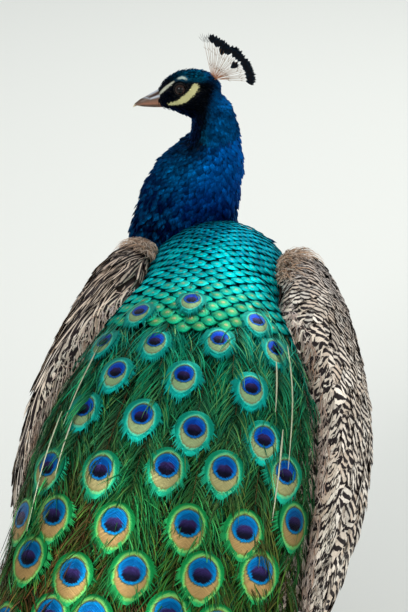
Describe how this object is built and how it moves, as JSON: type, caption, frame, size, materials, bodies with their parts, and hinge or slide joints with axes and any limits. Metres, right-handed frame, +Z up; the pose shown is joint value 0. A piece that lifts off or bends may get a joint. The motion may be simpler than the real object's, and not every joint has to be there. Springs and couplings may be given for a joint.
{
  "type": "standing peacock",
  "caption": "Life-size adult male Indian peafowl standing with neck raised, head turned to its left, wings folded and long train laid down on the floor behind it.",
  "frame": {"origin": "middle of the model's footprint, on the floor", "axes": "+Y from the train towards the breast, +X to the bird's right, +Z up"},
  "size_m": [0.4498, 1.5964, 0.7178],
  "materials": {
    "neck_plumage": "velvety blue plumage with a silky sheen",
    "crest": "bare pale shafts with dark blue fans",
    "mantle_plumage": "scale-like teal plumage with dark edges and a silky sheen",
    "train_plumage": "loose green and bronze barbs with blue eye spots",
    "wing_plumage": "buff plumage with wavy dark bars, matt",
    "primaries": "chestnut plumage, matt",
    "down": "soft grey-brown down, matt",
    "tail_plumage": "stiff dark grey-brown plumage, matt",
    "horn": "semi-matt horn",
    "leg_skin": "scaly grey-brown skin, matt",
    "eye": "wet dark brown"
  },
  "bodies": {
    "root": {"head": "neck_plumage", "neck_upper": "neck_plumage", "neck_lower": "neck_plumage", "crest": "crest", "trunk": "mantle_plumage", "train_rump": "train_plumage", "train_fall": "train_plumage", "train_sweep": "train_plumage", "train_end": "train_plumage", "train_tips": "train_plumage", "wing_left": "wing_plumage", "wing_right": "wing_plumage", "primaries_left": "primaries", "primaries_right": "primaries", "thigh_left": "down", "thigh_right": "down", "vent": "down", "tail": "tail_plumage", "bill_upper": "horn", "bill_lower": "horn", "spur_left": "horn", "spur_right": "horn", "claw_left_inner": "horn", "claw_left_middle": "horn", "claw_left_outer": "horn", "claw_left_hind": "horn", "claw_right_inner": "horn", "claw_right_middle": "horn", "claw_right_outer": "horn", "claw_right_hind": "horn", "shank_left": "leg_skin", "shank_right": "leg_skin", "foot_left": "leg_skin", "foot_right": "leg_skin", "eye_left": "eye", "eye_right": "eye"}
  },
  "joints": []
}
